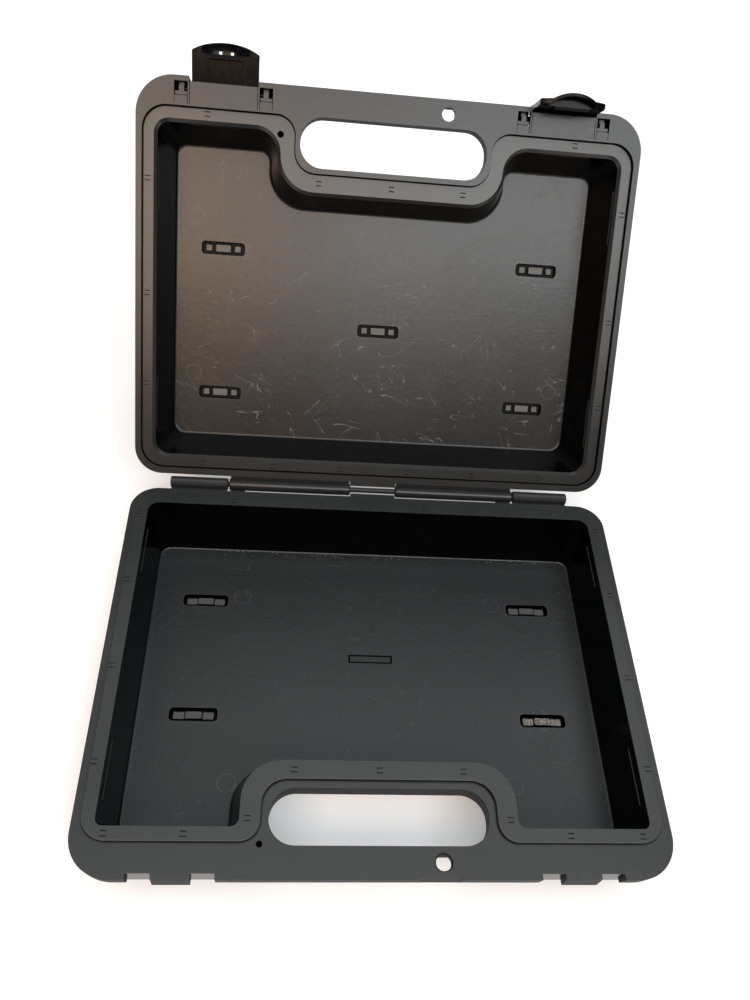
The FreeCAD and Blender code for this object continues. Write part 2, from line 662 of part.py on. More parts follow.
def latch_plate(x):
    """The flat flap with an arched tip, its outer edges rounded below the pivot."""
    y = PLATE_INNER
    left, right = x - LATCH_HALF, x + LATCH_HALF
    top_left = Vector(left, y, PIVOT_Z)
    tip_left = Vector(left, y, LATCH_TIP_Z)
    apex = Vector(x, y, LATCH_TIP_Z - TIP_ARCH)
    tip_right = Vector(right, y, LATCH_TIP_Z)
    top_right = Vector(right, y, PIVOT_Z)
    outline = Part.Wire([Part.LineSegment(top_left, tip_left).toShape(),
                         Part.Arc(tip_left, apex, tip_right).toShape(),
                         Part.LineSegment(tip_right, top_right).toShape(),
                         Part.LineSegment(top_right, top_left).toShape()])
    plate = Part.Face(outline).extrude(Vector(0, PLATE_OUTER - PLATE_INNER, 0))
    outer_edges = [edge for edge in plate.Edges
                   if edge.BoundBox.YMax < PLATE_OUTER + 0.01 and edge.BoundBox.ZMin < PIVOT_Z - 0.01]
    return plate.makeFillet(0.8, outer_edges)


def dome_sphere(x, shrink):
    """The ball whose cap is the thumb dome."""
    radius = (DOME_WIDE ** 2 + DOME_HIGH ** 2) / (2 * DOME_HIGH)
    centre = Vector(x, PLATE_OUTER - DOME_HIGH + radius, LATCH_TIP_Z - 1.0)
    return Part.makeSphere(radius - shrink, centre)


def dome_zone(x, inner_y, top_z):
    """A block round the thumb dome, out from inner_y and down from top_z."""
    return block(x - LATCH_HALF, x + LATCH_HALF, PLATE_OUTER - 2 * DOME_HIGH, inner_y,
                 LATCH_TIP_Z - 2 * DOME_WIDE, top_z)


def thumb_dome(x):
    """The cap of the ball, ending at the flap's arched tip."""
    cap = dome_sphere(x, 0).common(dome_zone(x, PLATE_OUTER + EPS, LID_Z))
    tip_radius = (LATCH_HALF ** 2 + TIP_ARCH ** 2) / (2 * TIP_ARCH)
    tip_centre = Vector(x, PLATE_OUTER - 2 * DOME_HIGH, LATCH_TIP_Z - TIP_ARCH + tip_radius)
    return cap.common(Part.makeCylinder(tip_radius, 3 * DOME_HIGH, tip_centre, Vector(0, 1, 0)))


def dome_hollow(x):
    """The scoop inside the dome, open towards the tip."""
    return dome_sphere(x, DOME_SKIN).common(dome_zone(x, PLATE_INNER + EPS, LID_Z + HOOK_TOP - HOOK_THICK))


def tip_eyes(x):
    """Two small square holes through the tip, beside the dome's crown."""
    eyes = []
    for side in (-1, 1):
        middle = x + side * EYE_APART / 2
        eyes.append(block(middle - EYE_SIZE / 2, middle + EYE_SIZE / 2, PLATE_OUTER - 2 * DOME_HIGH, BAY_EDGE,
                          LATCH_TIP_Z - 0.5, LATCH_TIP_Z - 0.5 + EYE_SIZE))
    return eyes


def latch_hook(x):
    """The bar across the channel that snaps under the keeper tab."""
    high = LID_Z + HOOK_TOP
    low = high - HOOK_THICK
    nose = 0.9
    section = [(CHANNEL_FACE, high), (BAY_EDGE, high), (BAY_EDGE, high - nose),
               (PLATE_INNER + 0.2, low), (CHANNEL_FACE, low)]
    corners = [Vector(x - CHANNEL_HALF, y, z) for y, z in section]
    face = Part.Face(Part.makePolygon(corners + corners[:1]))
    return face.extrude(Vector(2 * CHANNEL_HALF, 0, 0))


# ---------------------------------------------------------------- small pieces
def hinge_pin():
    pin = cross_rod(-PIN_LENGTH / 2, PIN_LENGTH / 2, HINGE_Y, HINGE_Z, PIN_R)
    return pin.makeChamfer(0.3, round_edges(pin))


def insert_clip(x, y, floor_z, up, spec):
    """A retaining clip seated in a floor pocket: a foot plate with three blocks."""
    corner = 0.4
    bottom_z = floor_z + up * POCKET_DEPTH
    plate = prism(rectangle_outline(x, y, POCKET_LENGTH - 2 * CLIP_GAP, POCKET_WIDTH - 2 * CLIP_GAP,
                                    POCKET_RADIUS - CLIP_GAP, bottom_z), -up * CLIP_PLATE)
    middle_rise = POCKET_DEPTH - CLIP_DROP
    middle = prism(rectangle_outline(x, y, spec["middle"], spec["middle_width"], corner, bottom_z),
                   -up * middle_rise)
    pieces = [plate, middle]
    for side in (-1, 1):
        outer = rectangle_outline(x + side * spec["apart"], y, spec["outer"], spec["outer_width"],
                                  corner, bottom_z)
        pieces.append(prism(outer, -up * (middle_rise - spec["outer_drop"])))
    return fuse(pieces)


def blank_plug():
    """The flush plug that fills the base's middle pocket."""
    height = POCKET_DEPTH - BLANK_DROP
    wire = rectangle_outline(0, FOOT_Y, BLANK_LENGTH - 2 * BLANK_GAP, BLANK_WIDTH - 2 * BLANK_GAP,
                             BLANK_RADIUS - BLANK_GAP, FLOOR_Z - POCKET_DEPTH)
    plug = prism(wire, height)
    return plug.makeChamfer(BLANK_GAP, edges_at(plug, FLOOR_Z - BLANK_DROP))


# ---------------------------------------------------------------- assembly
def turned(shape, pivot_y, pivot_z, degrees):
    """A copy turned about an axis along +X."""
    copy = shape.copy()
    copy.rotate(Vector(0, pivot_y, pivot_z), Vector(1, 0, 0), degrees)
    return copy


def all_parts():
    """Every piece by name, with the lid open as it rests."""
    parts = {"base_shell": base_shell(), "hinge_pin": hinge_pin(), "middle_blank_plug": blank_plug()}
    for name, x, y in pocket_places(BASE_POCKET_X, BASE_POCKET_Y):
        parts["base_clip_" + name] = insert_clip(x, y, FLOOR_Z, -1, BASE_CLIP)

    on_lid = {"lid_shell": lid_shell()}
    for name, x, y in pocket_places(LID_POCKET_X, LID_POCKET_Y) + [("middle", 0, LID_MIDDLE_Y)]:
        on_lid["lid_clip_" + name] = insert_clip(x, y, CEILING_Z, 1, LID_CLIP)
    on_lid["latch_left"] = turned(latch(-LATCH_X), PIVOT_Y, PIVOT_Z, -LEFT_LATCH_OPEN)
    on_lid["latch_right"] = latch(LATCH_X)
    for name, shape in on_lid.items():
        parts[name] = turned(shape, HINGE_Y, HINGE_Z, -LID_OPEN)
    for shape in parts.values():
        shape.translate(Vector(0, -FOOT_Y, 0))
    return parts


def main():
    os.makedirs("parts", exist_ok=True)
    for name, shape in all_parts().items():
        shape.exportStep("parts/" + name + ".step")
        print(name, round(shape.Volume), len(shape.Solids), shape.isValid())


main()
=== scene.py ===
"""Looks of the hard equipment case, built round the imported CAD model.

Every CAD node keeps its own shape and gets a procedural material here.  The shell materials work in
"shell coordinates", millimetres measured on each half of the case: x across, y out from the hinge,
z deep behind the face where the halves meet.  The hinge, the lid's angle, the width and the pockets'
places are read from the frame.  The other places are typed in below, to suit the same model.
"""
import json
import math

import bpy
from mathutils import Matrix, Vector


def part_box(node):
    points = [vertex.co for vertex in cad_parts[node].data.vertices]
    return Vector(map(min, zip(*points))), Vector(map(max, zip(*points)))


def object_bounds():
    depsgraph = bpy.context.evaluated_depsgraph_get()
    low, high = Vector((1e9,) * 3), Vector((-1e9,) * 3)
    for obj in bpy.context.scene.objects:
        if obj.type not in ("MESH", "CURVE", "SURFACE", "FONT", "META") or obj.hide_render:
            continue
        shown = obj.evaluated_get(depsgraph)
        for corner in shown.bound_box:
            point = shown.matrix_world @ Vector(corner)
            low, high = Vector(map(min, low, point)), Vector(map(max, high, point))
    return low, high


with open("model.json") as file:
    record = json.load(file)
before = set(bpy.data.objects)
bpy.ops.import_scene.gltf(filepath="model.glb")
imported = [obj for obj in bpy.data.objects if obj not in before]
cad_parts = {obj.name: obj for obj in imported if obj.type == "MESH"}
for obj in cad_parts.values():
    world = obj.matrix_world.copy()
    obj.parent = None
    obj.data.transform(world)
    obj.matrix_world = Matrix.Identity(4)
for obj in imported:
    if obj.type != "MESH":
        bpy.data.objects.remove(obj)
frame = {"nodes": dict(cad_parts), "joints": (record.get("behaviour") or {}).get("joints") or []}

cad_box = [list(corner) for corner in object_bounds()]
nodes = frame["nodes"]

# ---------------------------------------------------------------- what the frame says
MM = 0.001
lid_joint = next(joint for joint in frame["joints"] if joint["name"] == "lid_hinge")
HINGE = Vector(lid_joint["pos_m"])
LID_TURN = math.radians(max(lid_joint["range_deg"]))
HALF_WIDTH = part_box("base_shell")[1].x / MM
FRONT_EDGE = (HINGE.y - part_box("base_shell")[0].y) / MM

# ---------------------------------------------------------------- shell coordinates, millimetres
CORNERS = ("front_left", "front_right", "back_left", "back_right")
RIM = 2.2                   # the outermost strip of the flange, outside every dark step
BEHIND_RIM = 6.0            # where that strip ends at the hinge side
HANDLE_HALF = 54.0          # the handle's slot
HANDLE_NEAR = 174.5
DEEPEST_RING = 3.4          # rings and flanges are shallower, floors are deeper than this
SHALLOWEST_FLOOR = 24.0
CLIP_TO_FLOOR = 2.55        # from a floor down to the middle of a clip
POCKET_HALF = (12.5, 3.7)
PLUG_HALF = (12.0, 2.4)
BASE_FLOOR_BACK = 25.0      # from the hinge to the back edge of the base's floor
CRUMB_STRIP = 4.5           # the width of the crumbs along that edge
FLANGE_FACE = 0.15          # both flanges lie this far from the hinge's axis
BASE_RING = -1.85           # the tongue's top
LID_RING = 2.65             # the ring inside the rebate
TONE_NEAR = 12.0            # painted shade: the shells get lighter from here, near the hinge, to here, where the painted shade ends
TONE_FAR = 110.0            # to here; whether the real cause is wear or light is a guess
EJECTOR_R = 4.5
BASE_EJECTORS = ((-72.5, 57.0), (72.0, 57.5), (-73.2, 164.2), (73.2, 164.2))
LID_EJECTORS = ((-109.0, 61.0), (109.0, 61.0), (-109.0, 150.5), (109.0, 150.5))
BASE_HOLE = (-54.5, 202.2)
LID_HOLE = (-61.6, 192.9)
HOLE_R = 1.7
HOLE_TOP = 0.4              # a face this deep inside that circle is the hole's own

# ---------------------------------------------------------------- textures, per millimetre
MOTTLE = (0.35, 4.0, 0.6)   # scale, detail, roughness
GRAIN = (3.2, 3.0, 0.6)
SHELL_SCRATCHES = ((12, 34, 5.0, 0.42), (68, 26, 4.2, 0.42), (-38, 30, 4.6, 0.42))
LATCH_SCRATCHES = ((20, 14, 2.4, 0.5), (75, 12, 2.0, 0.5))
SOFT = 0.4                  # how wide a mask's edge is, in millimetres

# ---------------------------------------------------------------- colours, linear
# the lid and the base are one plastic; their different colours are painted light, warmer on the lid's
# floor
LID_FLOOR = (0.0205, 0.0185, 0.0160)
LID_FACE = (0.0215, 0.0213, 0.0208)
BASE_FLOOR = (0.0115, 0.0140, 0.0145)
BASE_FACE = (0.0270, 0.0300, 0.0306)
# near black: the painted shade on walls, sides, recesses, grooves, creases and the clip and plug bodies
SHADE_BLACK = (0.0014, 0.0017, 0.0026)
SLOT_SHADE = (0.0030, 0.0034, 0.0035)
LATCH_LOW, LATCH_HIGH = (0.0014, 0.0016, 0.0026), (0.0024, 0.0027, 0.0040)
PIN_LOW, PIN_HIGH = (0.008, 0.0085, 0.009), (0.016, 0.0165, 0.017)
# the lid's clips get a lighter, warmer colour than the base's: painted light
BASE_CLIP = (0.056, 0.056, 0.058)
LID_CLIP = (0.100, 0.097, 0.090)
PLUG = (0.0135, 0.0150, 0.0154)
DUST = (0.30, 0.29, 0.26)
SCRATCH = (0.15, 0.142, 0.128)
RESIDUE = (0.42, 0.39, 0.32)
STAGE = (0.90, 0.90, 0.90)
STAGE_GLOW = 0.24

# ---------------------------------------------------------------- camera and light
CAMERA_PLACE = Vector((-0.0455, -0.2203, 0.4362))
CAMERA_AIM = Vector((0.0057, 0.0943, 0.0253))
CAMERA_ROLL = math.radians(9.85)
CAMERA_LENS = 31.04
CAMERA_SHIFT = (-0.0049, 0.0032)

CEILING_PLACE = Vector((0.0, -0.70, 1.60))
CEILING_SIZE = (2.4, 1.8)
CEILING_RADIANCE = 2.2
BEHIND_PLACE = Vector((0.36, 0.62, 1.60))
BEHIND_SIZE = (1.5, 0.42)
BEHIND_RADIANCE = 2.0
KEY_AIM = Vector((0.0, 0.15, 0.12))
KEY_WARM_PLACE = Vector((-0.64, -1.12, 1.52))
KEY_WARM_SIZE = (1.10, 0.46)
KEY_WARM_RADIANCE = 6.6
KEY_COOL_PLACE = Vector((0.46, -1.12, 1.52))
KEY_COOL_SIZE = (1.08, 0.46)
KEY_COOL_RADIANCE = 5.6
FILL_AIM = Vector((0.0, 0.10, 0.10))
FILL_PLACE = Vector((0.0, 1.50, 0.55))
FILL_SIZE = (1.6, 0.6)
FILL_RADIANCE = 3.5
WARM = (1.0, 0.56, 0.25)
COOL = (0.95, 0.98, 1.0)
SKY = (0.92, 0.96, 1.0)
SKY_STRENGTH = 0.10


# ---------------------------------------------------------------- writing node trees
class Shader:
    """A material being written: each method adds a node and returns its output socket."""

    def __init__(self, name):
        self.material = bpy.data.materials.new(name)
        self.material.use_nodes = True
        self.tree = self.material.node_tree
        self.tree.nodes.clear()

    def node(self, kind, inputs=None, **settings):
        node = self.tree.nodes.new("ShaderNode" + kind)
        for key, value in settings.items():
            setattr(node, key, value)
        for key, value in (inputs or {}).items():
            if isinstance(value, bpy.types.NodeSocket):
                self.tree.links.new(value, node.inputs[key])
            else:
                node.inputs[key].default_value = value
        return node

    def math(self, operation, a, b=0.0, clamp=False):
        return self.node("Math", {0: a, 1: b}, operation=operation, use_clamp=clamp).outputs[0]

    def add(self, a, b):
        return self.math("ADD", a, b)

    def times(self, *values):
        product = values[0]
        for value in values[1:]:
            product = self.math("MULTIPLY", product, value)
        return product

    def flip(self, a):
        return self.math("SUBTRACT", 1.0, a, clamp=True)

    def absolute(self, a):
        return self.math("ABSOLUTE", a)

    def length(self, x, y):
        squares = self.add(self.times(x, x), self.times(y, y))
        return self.math("POWER", squares, 0.5)

    def rise(self, value, low, high):
        """0 below low and 1 above high, smooth between; low may be the greater."""
        span = {"Value": value, "From Min": low, "From Max": high}
        return self.node("MapRange", span, interpolation_type="SMOOTHSTEP").outputs["Result"]

    def blend(self, factor, a, b):
        """The number a where factor is 0 and b where it is 1."""
        return self.node("Mix", {"Factor": factor, 2: a, 3: b}, data_type="FLOAT").outputs[0]

    def tint(self, factor, a, b, blend_type="MIX"):
        """The colour a where factor is 0 and b where it is 1."""
        colours = {"Factor": factor, 6: opaque(a), 7: opaque(b)}
        return self.node("Mix", colours, data_type="RGBA", blend_type=blend_type).outputs[2]

    def vector(self, operation, a, b=(0.0, 0.0, 0.0)):
        return self.node("VectorMath", {0: a, 1: b}, operation=operation).outputs

    def scaled(self, vector, amount):
        return self.node("VectorMath", {0: vector, "Scale": amount}, operation="SCALE").outputs[0]

    def strongest(self, *values):
        most = values[0]
        for value in values[1:]:
            most = self.math("MAXIMUM", most, value)
        return most

    def grey(self, value):
        return self.node("CombineColor", {0: value, 1: value, 2: value}).outputs[0]

    def split(self, vector):
        return self.node("SeparateXYZ", {0: vector}).outputs[:]

    def turned(self, vector, degrees, scale, offset=0.0):
        """The vector turned about Z, then scaled."""
        spun = self.node("VectorRotate", {"Vector": vector, "Angle": math.radians(degrees)},
                         rotation_type="Z_AXIS").outputs[0]
        return self.node("Mapping", {"Vector": spun, "Scale": scale,
                                     "Location": (offset, offset, offset)}).outputs[0]

    def noise(self, vector, scale, detail=2.0, roughness=0.5, distortion=0.0):
        inputs = {"Vector": vector, "Scale": scale, "Detail": detail, "Roughness": roughness,
                  "Distortion": distortion}
        return self.node("TexNoise", inputs).outputs["Fac"]

    def line(self, field, width):
        """1 on the line where a noise field crosses its middle, 0 at width either side of it."""
        off = self.absolute(self.math("SUBTRACT", field, 0.5))
        return self.rise(off, width, 0.0)

    def specks(self, vector, scale, size, share):
        """Small round specks in that share of the cells of a cell pattern."""
        cells = self.node("TexVoronoi", {"Vector": vector, "Scale": scale})
        chance = self.split(cells.outputs["Color"])[0]
        return self.times(self.rise(cells.outputs["Distance"], size, size * 0.4),
                          self.math("LESS_THAN", chance, share))

    def bump(self, height, distance, strength=1.0, normal=None):
        inputs = {"Height": height, "Distance": distance, "Strength": strength}
        if normal is not None:
            inputs["Normal"] = normal
        return self.node("Bump", inputs).outputs["Normal"]

    def creases(self, reach):
        """1 where a face is closely overshadowed by the shape beside it."""
        open_sky = self.node("AmbientOcclusion", {"Distance": reach}, samples=4).outputs["AO"]
        return self.rise(open_sky, 0.74, 0.48)

    def edges(self, radius):
        """1 on outer edges, from the difference between a rounded normal and the true one."""
        rounded = self.node("Bevel", {"Radius": radius}, samples=4).outputs["Normal"]
        true = self.node("NewGeometry").outputs["Normal"]
        return self.rise(self.vector("DOT_PRODUCT", rounded, true)["Value"], 0.995, 0.9)

    def finish(self, colour, roughness, normal, others):
        """Joins everything to one Principled surface; plain numbers go straight on its own sockets."""
        inputs = {"Base Color": colour, "Roughness": roughness, "Normal": normal, **others}
        surface = self.node("BsdfPrincipled", inputs).outputs["BSDF"]
        self.node("OutputMaterial", {"Surface": surface})
        return self.material


def lighter(colour, times):
    return tuple(times * part for part in colour)


def opaque(colour):
    return (*colour, 1.0) if isinstance(colour, tuple) and len(colour) == 3 else colour


# ---------------------------------------------------------------- shell coordinates
def shell_coordinates(shader, on_lid):
    """(position, facing): shell coordinates in millimetres, and how squarely a face looks out of
    the shell's open side, from 1 on its floor to -1 on its outside."""
    texture = shader.node("TexCoord")
    if on_lid:
        mirror = Vector((1, -1, 1))
        turn = -LID_TURN
        outwards = Vector((0, -math.sin(LID_TURN), -math.cos(LID_TURN)))
    else:
        mirror = Vector((1, 1, 1))
        turn = math.pi
        outwards = Vector((0, 0, 1))
    start = Matrix.Rotation(turn, 3, "X") @ (HINGE * mirror)
    position = shader.node("Mapping", {"Vector": texture.outputs["Object"],
                                       "Location": -start / MM,
                                       "Rotation": (turn, 0, 0),
                                       "Scale": mirror / MM}).outputs[0]
    facing = shader.vector("DOT_PRODUCT", texture.outputs["Normal"], outwards)["Value"]
    return position, facing


def shell_place(node, on_lid):
    """The middle of a CAD node in shell coordinates."""
    low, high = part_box(node)
    middle = (low + high) / 2 - HINGE
    if on_lid:
        middle = Matrix.Rotation(LID_TURN, 3, "X") @ middle
        return Vector((middle.x, -middle.y, middle.z)) / MM
    return Vector((middle.x, -middle.y, -middle.z)) / MM


# ---------------------------------------------------------------- wear and dirt
def scratches(shader, position, layers, width):
    """Fine lines, each layer (degrees, length, apart, share) broken up by a gate of its own."""
    swirl = {"Vector": position, "Scale": 0.03, "Detail": 1.0}
    wobble = shader.node("TexNoise", swirl).outputs["Color"]
    bent = shader.vector("ADD", position, shader.scaled(wobble, 26.0))[0]
    total = 0.0
    for number, (degrees, length, apart, share) in enumerate(layers):
        stretch = (1.0 / length, 1.0 / apart, 0.02)
        field = shader.noise(shader.turned(bent, degrees, stretch, 7.3 * number), 1.0, 1.0)
        patches = shader.turned(position, degrees, (0.05, 0.09, 0.02), 31.7 * number)
        gate = shader.noise(patches, 1.0, 2.0)
        line = shader.times(shader.line(field, width), shader.rise(gate, 1.0 - share, 1.06 - share))
        total = shader.strongest(total, line)
    return total


def outside_rectangle(shader, position, place, half):
    """Distance outside a rectangle that lies flat round a place."""
    x, y, _ = shader.split(shader.vector("SUBTRACT", position, place)[0])
    over_x = shader.strongest(shader.math("SUBTRACT", shader.absolute(x), half[0]), 0.0)
    over_y = shader.strongest(shader.math("SUBTRACT", shader.absolute(y), half[1]), 0.0)
    return shader.length(over_x, over_y)


def round_pockets(shader, position, places):
    """(halo, rim): painted sheen on the wide patch where the moulding is thicker, and on the polished
    edge.
    """
    halo, rim = 0.0, 0.0
    for place in places:
        away = outside_rectangle(shader, position, place, POCKET_HALF)
        halo = shader.strongest(halo, shader.rise(away, 7.0, 4.5))
        rim = shader.strongest(rim, shader.rise(away, 0.9, 0.3))
    return halo, rim


# ---------------------------------------------------------------- shell plastic
def skin(shader, grain, mottle):
    """The height of the texture that the mould gives every shell surface."""
    return shader.add(shader.times(grain, 0.04), shader.times(mottle, 0.09))


def etched(shader, depth, face):
    """1 at the bottom of the shallow marks moulded in a face at that depth."""
    return shader.times(shader.rise(depth, face + 0.08, face + 0.14),
                        shader.rise(depth, face + 0.46, face + 0.40))


def close_to(shader, depth, face):
    """1 on the face at that depth and 0 well away from it."""
    off = shader.absolute(shader.math("SUBTRACT", depth, face))
    return shader.rise(off, 0.45, 0.35)


def flat_distance(shader, position, centre):
    """Distance from an upright line through the centre (x, y)."""
    away = shader.vector("SUBTRACT", position, (*centre, 0.0))[0]
    x, y, _ = shader.split(away)
    return shader.length(x, y)


def ejector_lines(shader, position, centres):
    total = 0.0
    for centre in centres:
        away = flat_distance(shader, position, centre)
        off = shader.absolute(shader.math("SUBTRACT", away, EJECTOR_R))
        total = shader.strongest(total, shader.rise(off, 0.45, 0.1))
    return total


def shell_masks(shader, position, facing, floor_depth, hole):
    """Numbers from 0 to 1 that pick out the shell's regions, by name."""
    x, y, depth = shader.split(position)
    across = shader.absolute(x)
    level = shader.rise(facing, 0.88, 0.96)
    inside = shader.rise(facing, -0.08, -0.03)
    within = shader.times(shader.rise(across, HALF_WIDTH - RIM, HALF_WIDTH - RIM - SOFT),
                          shader.rise(y, BEHIND_RIM, BEHIND_RIM + SOFT),
                          shader.rise(y, FRONT_EDGE - RIM, FRONT_EDGE - RIM - SOFT))
    handle = shader.times(shader.rise(across, HANDLE_HALF, HANDLE_HALF - SOFT),
                          shader.rise(y, HANDLE_NEAR, HANDLE_NEAR + SOFT))
    steep = shader.times(shader.flip(level), inside, within)
    pit = shader.times(shader.rise(depth, DEEPEST_RING, DEEPEST_RING + 0.6),
                       shader.rise(depth, SHALLOWEST_FLOOR, SHALLOWEST_FLOOR - 2.0), level, within)
    below = shader.rise(depth, floor_depth + 0.3, floor_depth + 0.4)
    bore = shader.times(shader.rise(flat_distance(shader, position, hole), HOLE_R + 0.1, HOLE_R),
                        shader.rise(depth, HOLE_TOP - 0.1, HOLE_TOP + 0.1))
    sunk = shader.times(shader.strongest(pit, below, bore), inside, within)
    # steep walls inside the shell and sunk faces get painted shade
    dark = shader.strongest(steep, sunk)
    return {
        "floor": shader.times(level, shader.rise(depth, SHALLOWEST_FLOOR - 2.0, SHALLOWEST_FLOOR)),
        "dark": dark,
        "sunk": sunk,
        "chamfer": shader.times(steep, shader.rise(facing, 0.45, 0.62), shader.flip(sunk)),
        "slot": shader.times(steep, handle, shader.flip(sunk)),
        "side": shader.times(shader.flip(level), shader.flip(dark), shader.rise(facing, -0.6, -0.4)),
        "ring": shader.times(level, shader.strongest(close_to(shader, depth, BASE_RING),
                                                     close_to(shader, depth, LID_RING))),
        "away": shader.rise(y, TONE_NEAR, TONE_FAR),
        "etched": shader.times(level, shader.strongest(etched(shader, depth, FLANGE_FACE),
                                                       etched(shader, depth, BASE_RING),
                                                       etched(shader, depth, LID_RING))),
    }


def shell_wear_and_crease_shade(shader, position, masks, mottle, scuff_and_ring_light, on_lid):
    """(scratches, dust, rubbed edges, creases for painted shade), each from 0 to 1."""
    floor, pale = masks["floor"], shader.flip(masks["dark"])
    _, y, _ = shader.split(position)
    fine = scratches(shader, position, SHELL_SCRATCHES, 0.010)
    curl = shader.line(shader.noise(position, 0.16, 2.0, 0.6, 1.2), 0.006)
    curl = shader.times(curl, shader.rise(shader.noise(position, 0.05, 2.0), 0.60, 0.68))
    marks = shader.times(shader.strongest(fine, curl), shader.blend(floor, 0.06, scuff_and_ring_light), pale)
    dust = shader.times(shader.specks(position, 0.20, 0.06, 0.07), floor)
    if not on_lid:
        drifts = shader.rise(shader.noise(position, 0.04, 2.0), 0.44, 0.52)
        at_back = shader.rise(y, BASE_FLOOR_BACK + CRUMB_STRIP, BASE_FLOOR_BACK)
        crumbs = shader.times(shader.specks(position, 0.8, 0.34, 0.35), floor, at_back, drifts)
        dust = shader.strongest(dust, crumbs)
    edge = shader.times(shader.edges(0.45 * MM), shader.rise(mottle, 0.35, 0.7))
    # painted shade in the creases beside walls and steps, away from the floor
    crease = shader.times(shader.creases(1.5 * MM), shader.flip(floor))
    return marks, shader.times(dust, pale), edge, crease


def shell_colour(shader, masks, floor_colour, face_colour, scuff_and_ring_light, shade, halo, rim, rings):
    """The clean plastic: floor and faces, the marks the mould left, painted sheen round the pockets,
    painted light on the rings and painted shade by the hinge.
    """
    floor, away = masks["floor"], masks["away"]
    colour = shader.tint(floor, face_colour, floor_colour)
    # painted sheen round the pockets: a wide patch and a brighter edge
    colour = shader.tint(shader.times(halo, floor, 0.14), colour, lighter(floor_colour, 1.6))
    colour = shader.tint(shader.times(rim, floor, 0.45), colour, lighter(floor_colour, 2.2))
    colour = shader.tint(shader.times(rings, floor, 0.8), colour, lighter(floor_colour, 4.0))
    # painted light on the rings, strongest far from the hinge
    colour = shader.tint(shader.times(masks["ring"], away, scuff_and_ring_light), colour, lighter(face_colour, 2.6))
    # painted shade near the hinge
    colour = shader.tint(shader.times(shader.flip(away), 0.3), colour, SHADE_BLACK)
    return shader.tint(0.8, colour, shader.grey(shade), "MULTIPLY")


def shell_roughness(shader, masks, cloud, marks, crease):
    roughness = shader.add(shader.blend(masks["floor"], 0.25, 0.23), shader.times(cloud, 0.08))
    roughness = shader.add(roughness, shader.times(marks, 0.15))
    roughness = shader.blend(masks["dark"], roughness, 0.17)
    roughness = shader.blend(masks["chamfer"], roughness, 0.26)
    roughness = shader.blend(shader.strongest(masks["side"], masks["slot"]), roughness, 0.7)
    return shader.blend(shader.strongest(masks["sunk"], masks["etched"], crease), roughness, 0.9)


def shell_plastic(name, on_lid, floor_colour, face_colour, scuff_and_ring_light, places, ejectors, hole):
    """Black moulded plastic: textured faces, smooth walls and recesses in painted shade, a scuffed
    floor.  The metallic map takes the sheen off the recesses, because a near-black metal mirrors less
    than a plastic."""
    shader = Shader(name)
    position, facing = shell_coordinates(shader, on_lid)
    masks = shell_masks(shader, position, facing, places[0].z - CLIP_TO_FLOOR, hole)
    dark = masks["dark"]

    cloud = shader.noise(position, 0.016, 3.0, 0.55)
    mottle = shader.noise(position, *MOTTLE)
    grain = shader.noise(position, *GRAIN)
    halo, rim = round_pockets(shader, position, places)
    rings = ejector_lines(shader, position, ejectors)
    marks, dust, edge, crease = shell_wear_and_crease_shade(shader, position, masks, mottle, scuff_and_ring_light, on_lid)
    shade = shader.add(shader.add(shader.times(cloud, 0.5), shader.times(mottle, 0.2)), 0.65)

    colour = shell_colour(shader, masks, floor_colour, face_colour, scuff_and_ring_light, shade, halo, rim, rings)
    colour = shader.tint(shader.times(edge, 0.3), colour, lighter(face_colour, 3.0))
    # painted shade on the shell's outer sides
    colour = shader.tint(shader.times(masks["side"], 0.75), colour, SHADE_BLACK)
    # painted shade on the steep walls, the sunk recesses and the creases
    colour = shader.tint(shader.strongest(dark, shader.times(crease, 0.8)), colour, SHADE_BLACK)
    colour = shader.tint(masks["chamfer"], colour, face_colour)
    # painted shade on the handle slot's walls
    colour = shader.tint(masks["slot"], colour, SLOT_SHADE)
    # painted shade at the bottom of the shallow grooves
    colour = shader.tint(shader.times(masks["etched"], 0.8), colour, SHADE_BLACK)
    colour = shader.tint(shader.times(marks, 0.9), colour, SCRATCH)
    colour = shader.tint(shader.times(dust, 0.8), colour, DUST)

    roughness = shell_roughness(shader, masks, cloud, marks, crease)
    dull = shader.add(shader.times(dark, 0.5), shader.times(masks["sunk"], 0.45))
    dull = shader.times(dull, shader.flip(masks["chamfer"]), shader.flip(masks["slot"]))
    height = shader.math("SUBTRACT", skin(shader, grain, mottle), shader.times(marks, 0.03))
    others = {"IOR": 1.45, "Metallic": dull}
    return shader.finish(colour, roughness, shader.bump(height, MM, 0.8), others)


# ---------------------------------------------------------------- the other materials
def millimetres(shader):
    return shader.scaled(shader.node("TexCoord").outputs["Object"], 1.0 / MM)


def latch_plastic():
    """Smooth satin black, finely scratched by thumbs."""
    shader = Shader("latch_plastic")
    position = millimetres(shader)
    mottle = shader.noise(position, 0.5, 3.0)
    grain = shader.noise(position, 5.0, 2.0)
    worn = scratches(shader, position, LATCH_SCRATCHES, 0.014)
    edge = shader.times(shader.edges(0.35 * MM), shader.rise(mottle, 0.3, 0.6))
    colour = shader.tint(mottle, LATCH_LOW, LATCH_HIGH)
    colour = shader.tint(shader.times(worn, 0.04), colour, SCRATCH)
    colour = shader.tint(shader.times(edge, 0.3), colour, lighter(LATCH_HIGH, 6.0))
    roughness = shader.add(shader.times(mottle, 0.08), shader.add(0.13, shader.times(worn, 0.1)))
    height = shader.add(shader.times(grain, 0.006), shader.times(mottle, 0.02))
    return shader.finish(colour, roughness, shader.bump(height, MM), {"IOR": 1.22})


